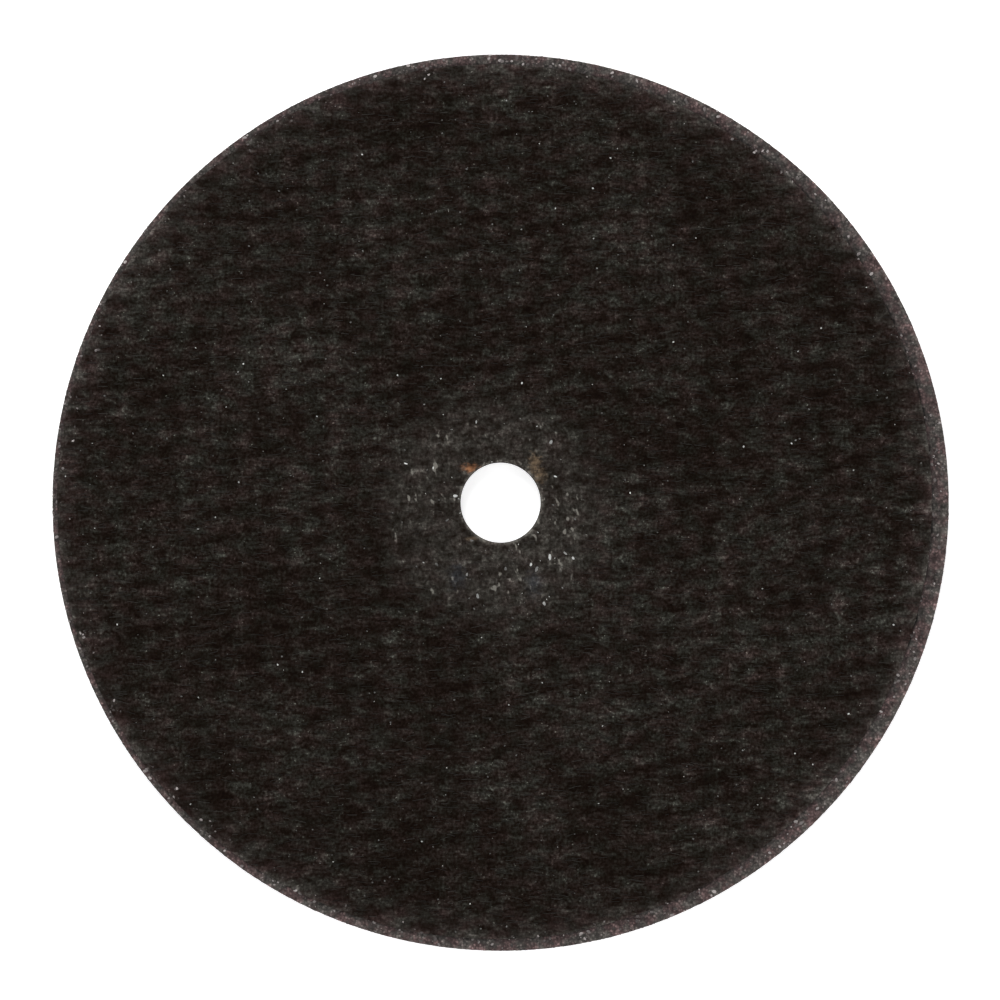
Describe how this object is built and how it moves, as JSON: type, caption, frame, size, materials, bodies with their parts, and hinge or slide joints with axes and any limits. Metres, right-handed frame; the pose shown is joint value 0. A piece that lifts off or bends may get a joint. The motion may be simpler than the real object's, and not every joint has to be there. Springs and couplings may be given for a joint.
{
  "type": "cut-off wheel",
  "caption": "Thin flat round cut-off wheel of bonded abrasive, with a woven mesh showing in its black face, a bare grainy rim and a plain round arbor hole.",
  "frame": {"origin": "centre of the wheel on its flat back face, the face that it lies on", "axes": "+Z along the wheel's axis, out of the front face that the picture shows; +X towards the picture's right; +Y towards the picture's top"},
  "size_m": [0.1778, 0.1778, 0.0032],
  "materials": {
    "bonded_abrasive": "matte black woven covering over grainy resin bonded abrasive"
  },
  "bodies": {
    "root": {"cutting_disc": "bonded_abrasive"}
  },
  "joints": []
}
